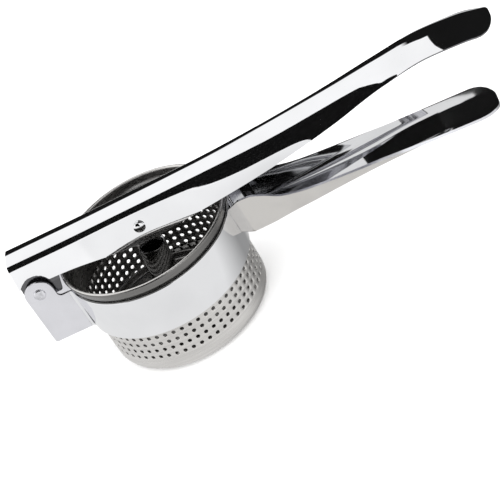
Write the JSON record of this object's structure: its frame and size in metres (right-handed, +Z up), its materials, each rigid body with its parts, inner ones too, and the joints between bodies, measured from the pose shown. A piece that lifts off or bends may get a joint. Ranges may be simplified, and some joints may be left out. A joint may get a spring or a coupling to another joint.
{
  "type": "potato ricer",
  "caption": "Hand-held sheet-steel press: a perforated basket in a strap ring, two channel handles hinged on a rivet, and a pivoting plunger that drops into the basket.",
  "frame": {"origin": "centre of the basket's flat floor, on its underside", "axes": "+Z up along the basket's axis, +X towards the tips of the handles, -Y the near side"},
  "size_m": [0.266, 0.092, 0.0906],
  "materials": {
    "polished_steel": "mirror polished",
    "basket_steel": "brushed satin",
    "rivet_steel": "satin"
  },
  "bodies": {
    "frame": {"ring_strap": "polished_steel", "lower_handle": "polished_steel", "hinge_rivet": "rivet_steel", "near_hinge_washer": "rivet_steel", "far_hinge_washer": "rivet_steel", "hinge_spacer": "rivet_steel"},
    "basket": {"perforated_basket": "basket_steel"},
    "press": {"upper_handle": "polished_steel", "plunger_pin": "rivet_steel", "near_pin_spacer": "rivet_steel", "far_pin_spacer": "rivet_steel"},
    "plunger": {"plunger_tongue": "basket_steel", "plunger_post": "basket_steel", "post_weld": "basket_steel", "plunger_disc": "basket_steel"}
  },
  "joints": [
    {"name": "press_hinge", "type": "hinge", "parent": "frame", "child": "press", "pos_m": [-0.0578, 0, 0.0592], "axis": [0, -1, 0], "range_deg": [-1.5, 120]},
    {"name": "plunger_pivot", "type": "hinge", "parent": "press", "child": "plunger", "pos_m": [0.003, 0, 0.0681], "axis": [0, -1, 0], "range_deg": [-31.3, 0.5]},
    {"name": "basket_turn", "type": "hinge", "parent": "frame", "child": "basket", "pos_m": [0, 0, 0.0534], "axis": [0, 0, 1], "continuous": true}
  ],
  "couplings": [
    {"joint": "plunger_pivot", "follows": "press_hinge", "ratio": -0.26}
  ]
}
